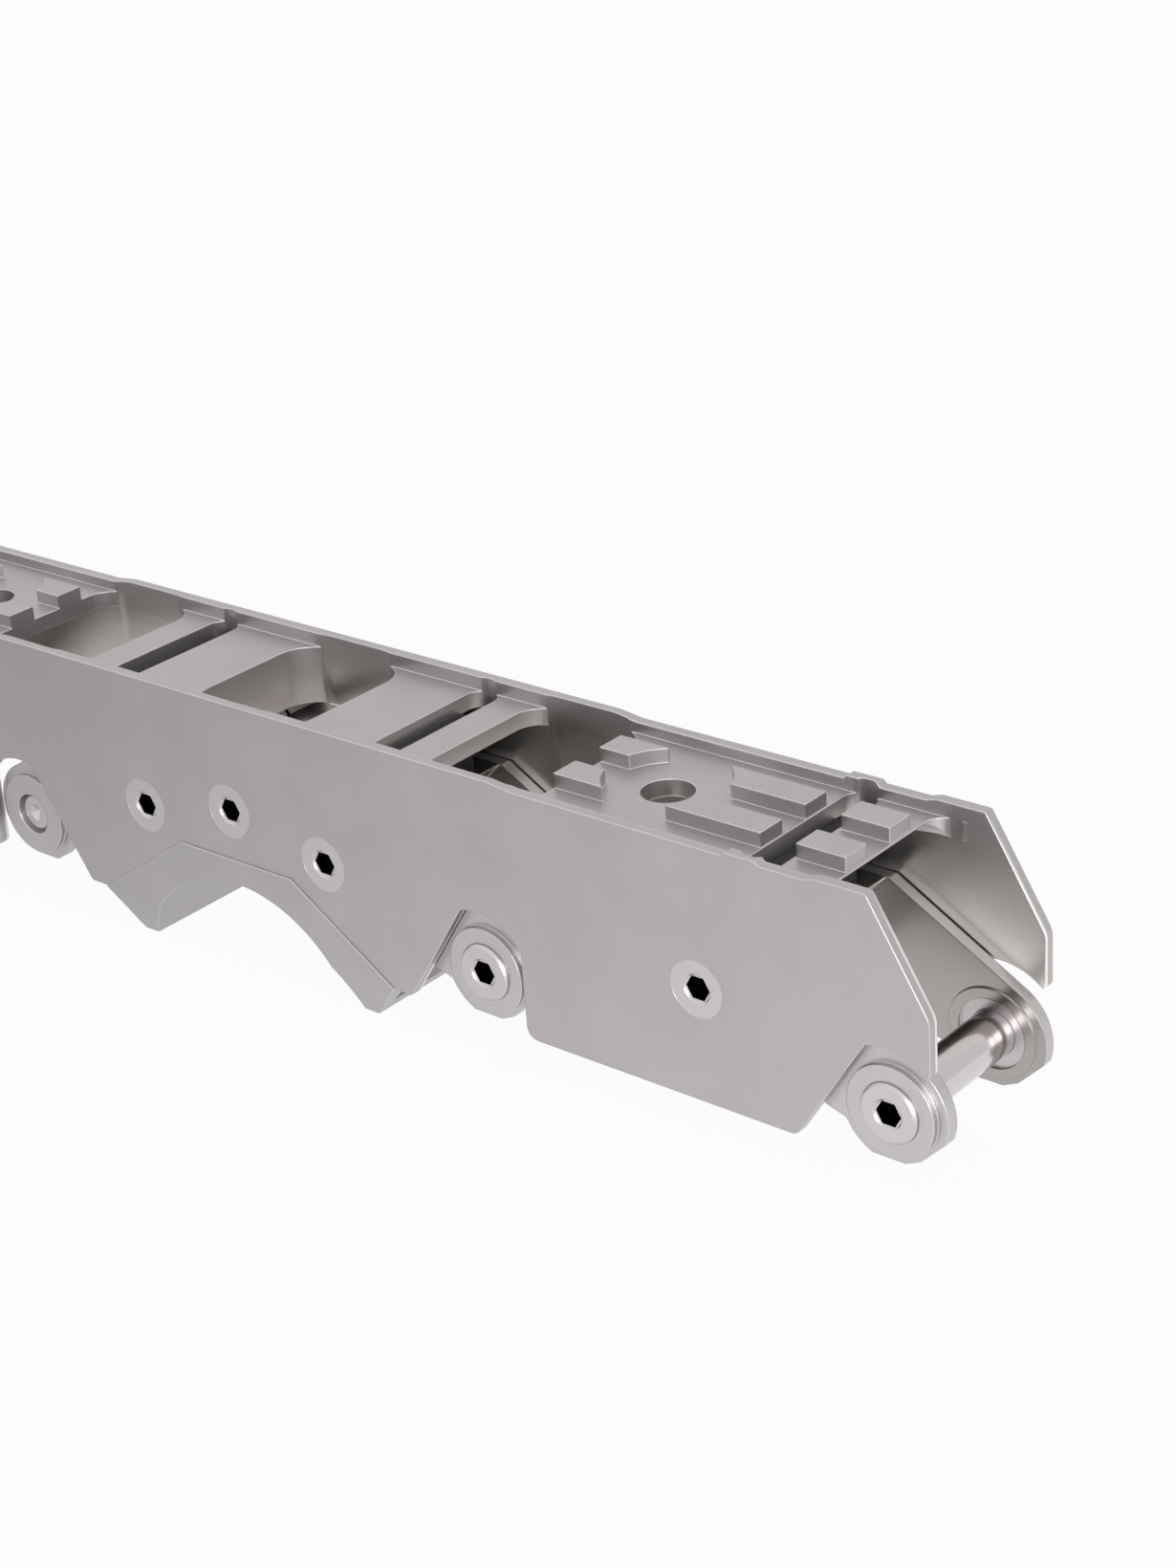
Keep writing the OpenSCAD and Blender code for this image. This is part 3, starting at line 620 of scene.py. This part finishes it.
def seen_directly(tree):
    """1 for what is looked at or mirrored, 0 for what only lights a surface; and 1 for what the
    camera looks at alone."""
    rays = add(tree, "ShaderNodeLightPath")
    seen = add(tree, "ShaderNodeMath", {0: rays.outputs["Is Camera Ray"],
                                        1: rays.outputs["Is Glossy Ray"]}, operation="MAXIMUM")
    seen = add(tree, "ShaderNodeMath", {0: seen.outputs["Value"],
                                        1: rays.outputs["Is Transmission Ray"]},
               operation="MAXIMUM")
    return seen.outputs["Value"], rays.outputs["Is Camera Ray"]


scene = bpy.context.scene
world = bpy.data.worlds.new("white_tent")
scene.world = world
world.use_nodes = True
sky = world.node_tree
sky.nodes.clear()
lit = add(sky, "ShaderNodeMapRange", {"Value": seen_directly(sky)[0], "To Min": LIT_BY_TENT,
                                      "To Max": 1.0})
way = add(sky, "ShaderNodeSeparateXYZ",
          {"Vector": add(sky, "ShaderNodeTexCoord").outputs["Generated"]})
back = add(sky, "ShaderNodeMapRange", {"Value": way.outputs["Y"], "From Min": 0.0,
                                       "From Max": BACK_FADE, "To Min": 1.0,
                                       "To Max": BACK_TONE})
strength = add(sky, "ShaderNodeMath", {0: lit.outputs["Result"], 1: back.outputs["Result"]},
               operation="MULTIPLY")
tent = add(sky, "ShaderNodeBackground", {"Color": (1, 1, 1, 1),
                                         "Strength": strength.outputs["Value"]})
add(sky, "ShaderNodeOutputWorld", {"Surface": tent.outputs["Background"]})
print("world:", world.name)

# %% [markdown]
# One wide lamp overhead lifts the deck, and one beside the front end gives the edges their thin
# highlights. Both are squares, because a tent's lit panels are large and leave no hard shadow.

# %% Lamps
AIM = (0.05, 0, 0.03)            # in metres, a little ahead of the frame's middle


def soft_lamp(name, place, size, watts):
    """A square lamp at a place in metres, turned to the frame."""
    data = bpy.data.lights.new(name, "AREA")
    data.size = size
    data.energy = watts
    lamp = bpy.data.objects.new(name, data)
    scene.collection.objects.link(lamp)
    lamp.location = place
    lamp.rotation_euler = (Vector(AIM) - Vector(place)).to_track_quat("-Z", "Y").to_euler()
    print("lamp:", name, watts, "W")


soft_lamp("overhead", (0.0, 0.1, 0.9), 0.8, 0.4)
soft_lamp("front_side", (0.55, -0.5, 0.12), 0.35, 1.6)

# %% [markdown]
# ## The floor
# The frame stands on its grind block's two feet. The photograph's table can't be told from its
# background, and a plain white floor would turn grey under these lights. So the floor glows white
# for the camera, with only a small part of its real shading mixed in for the shadow. The walls
# mirror it, and they get darker towards the rear in the photograph, so what they mirror of the
# glow gets weaker that way.

# %% Floor
FLOOR_M = 6
PAPER = "#f4f4f4"
GLOW_SHARE = 0.95                # how much of the white hides the paper's own shading
REAR_X, FRONT_X = -0.25, 0.12    # in metres, where the mirrored glow changes
REAR_GLOW = 0.5

bpy.ops.object.select_all(action="DESELECT")
bpy.ops.mesh.primitive_plane_add(size=FLOOR_M, location=(0, 0, 0))
floor = bpy.context.object
floor.name = "floor"
paper = bpy.data.materials.new("white_paper")
paper.use_nodes = True
tree = paper.node_tree
tree.nodes.clear()
matt = add(tree, "ShaderNodeBsdfDiffuse", {"Color": linear(PAPER)})
along = add(tree, "ShaderNodeSeparateXYZ",
            {"Vector": add(tree, "ShaderNodeTexCoord").outputs["Object"]})
fall = add(tree, "ShaderNodeMapRange", {"Value": along.outputs["X"], "From Min": REAR_X,
                                        "From Max": FRONT_X, "To Min": REAR_GLOW,
                                        "To Max": 1.0})
seen, by_camera = seen_directly(tree)
full = add(tree, "ShaderNodeMath", {0: fall.outputs["Result"], 1: by_camera},
           operation="MAXIMUM")
glow = add(tree, "ShaderNodeEmission", {"Color": (1, 1, 1, 1),
                                        "Strength": full.outputs["Value"]})
share = add(tree, "ShaderNodeMath", {0: seen, 1: GLOW_SHARE}, operation="MULTIPLY")
mix = add(tree, "ShaderNodeMixShader", {"Fac": share.outputs["Value"], 1: matt.outputs["BSDF"],
                                        2: glow.outputs["Emission"]})
add(tree, "ShaderNodeOutputMaterial", {"Surface": mix.outputs["Shader"]})
floor.data.materials.append(paper)
print("floor:", floor.name, "in", paper.name)

# %% [markdown]
# ## The camera
# The photograph was taken from the frame's right front, a little above it. The camera's place,
# its turn and its lens were worked out from the picture: every axle, screw and corner of the
# wall was matched to where it shows. Its three axes are built from the three angles and put
# straight into its matrix, which leaves no doubt about the order of turns.

# %% Camera
AZIMUTH = 41.123                 # degrees round from straight across the frame
ELEVATION = 24.895               # degrees above the horizon
ROLL = -4.036                    # degrees that the camera is tipped
CAMERA_AT = (0.3526, -0.32465, 0.24816)
LENS_MM, SENSOR_MM = 66.61, 36   # the sensor's width lies along the picture's long side
CLIP_NEAR_M, CLIP_FAR_M = 0.01, 20

azimuth, elevation, roll = (math.radians(v) for v in (AZIMUTH, ELEVATION, ROLL))
back = Vector((math.sin(azimuth) * math.cos(elevation),
               -math.cos(azimuth) * math.cos(elevation), math.sin(elevation)))
right = Vector((0, 0, 1)).cross(back).normalized()
up = back.cross(right)
side = math.cos(roll) * right + math.sin(roll) * up
top = -math.sin(roll) * right + math.cos(roll) * up
camera_data = bpy.data.cameras.new("photo_camera")
camera_data.lens = LENS_MM
camera_data.sensor_width = SENSOR_MM
camera_data.clip_start = CLIP_NEAR_M
camera_data.clip_end = CLIP_FAR_M
camera = bpy.data.objects.new("photo_camera", camera_data)
scene.collection.objects.link(camera)
camera.matrix_world = Matrix((
    (side[0], top[0], back[0], CAMERA_AT[0]),
    (side[1], top[1], back[1], CAMERA_AT[1]),
    (side[2], top[2], back[2], CAMERA_AT[2]),
    (0, 0, 0, 1),
))
scene.camera = camera
scene.view_settings.view_transform = "Standard"
print("camera at", [round(v, 3) for v in CAMERA_AT])
